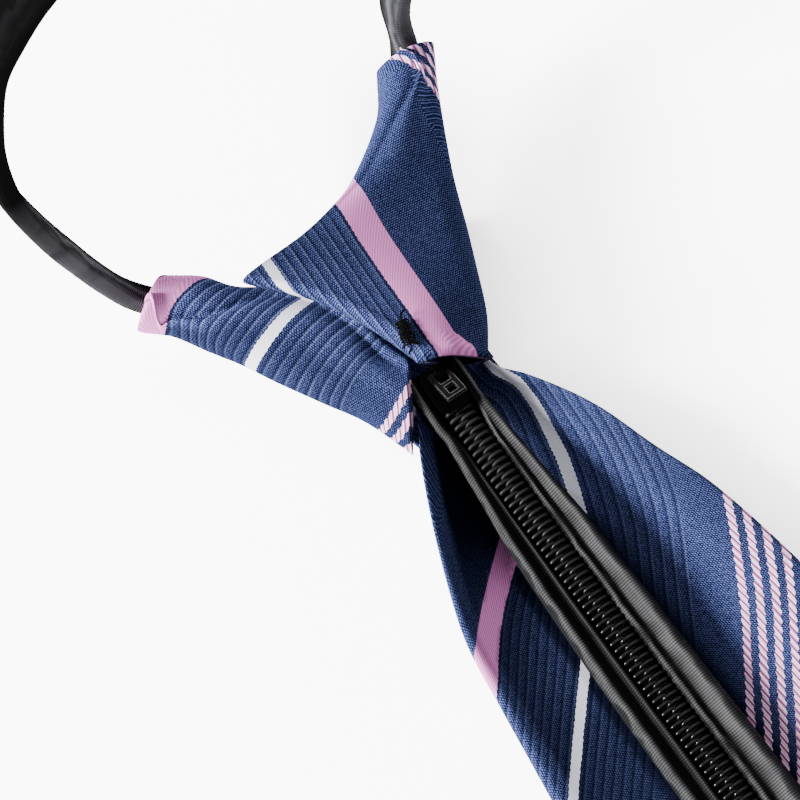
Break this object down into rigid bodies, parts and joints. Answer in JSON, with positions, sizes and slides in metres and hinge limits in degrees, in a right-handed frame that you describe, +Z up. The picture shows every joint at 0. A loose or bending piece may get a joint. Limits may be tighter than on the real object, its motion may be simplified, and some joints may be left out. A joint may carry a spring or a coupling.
{
  "type": "zipper tie",
  "caption": "Ready-knotted striped necktie whose neck band is a zipper, lying face down with the loop standing open and the slider under the knot.",
  "frame": {"origin": "on the surface that the tie lies on, under the pinch of the knot, on the flat underside of the knot's front", "axes": "+Y from the blade's tip to the neck, +X to the right seen from behind, +Z up from the tie's front to its back"},
  "size_m": [0.0905, 0.5311, 0.1674],
  "materials": {
    "stripe_fabric": "ribbed satin, navy with pink and white stripes",
    "black_band": "ribbed black tape",
    "nylon_coil": "glossy black nylon",
    "slider_metal": "black gloss coating",
    "thread": "matt black thread"
  },
  "bodies": {
    "tie": {"blade": "stripe_fabric", "knot_front": "stripe_fabric", "knot_wing_left": "stripe_fabric", "knot_wing_right": "stripe_fabric", "neck_band": "black_band", "zipper_side_left": "black_band", "zipper_side_right": "black_band", "zipper_coil": "nylon_coil", "bottom_stop": "nylon_coil", "slider": "slider_metal", "knot_stitch": "thread"},
    "tab": {"pull_tab": "slider_metal"}
  },
  "joints": [
    {"name": "tab_hinge", "type": "hinge", "parent": "tie", "child": "tab", "pos_m": [0.0017, -0.00387, 0.01793], "axis": [1, 0, 0], "range_deg": [-60, 28]}
  ]
}
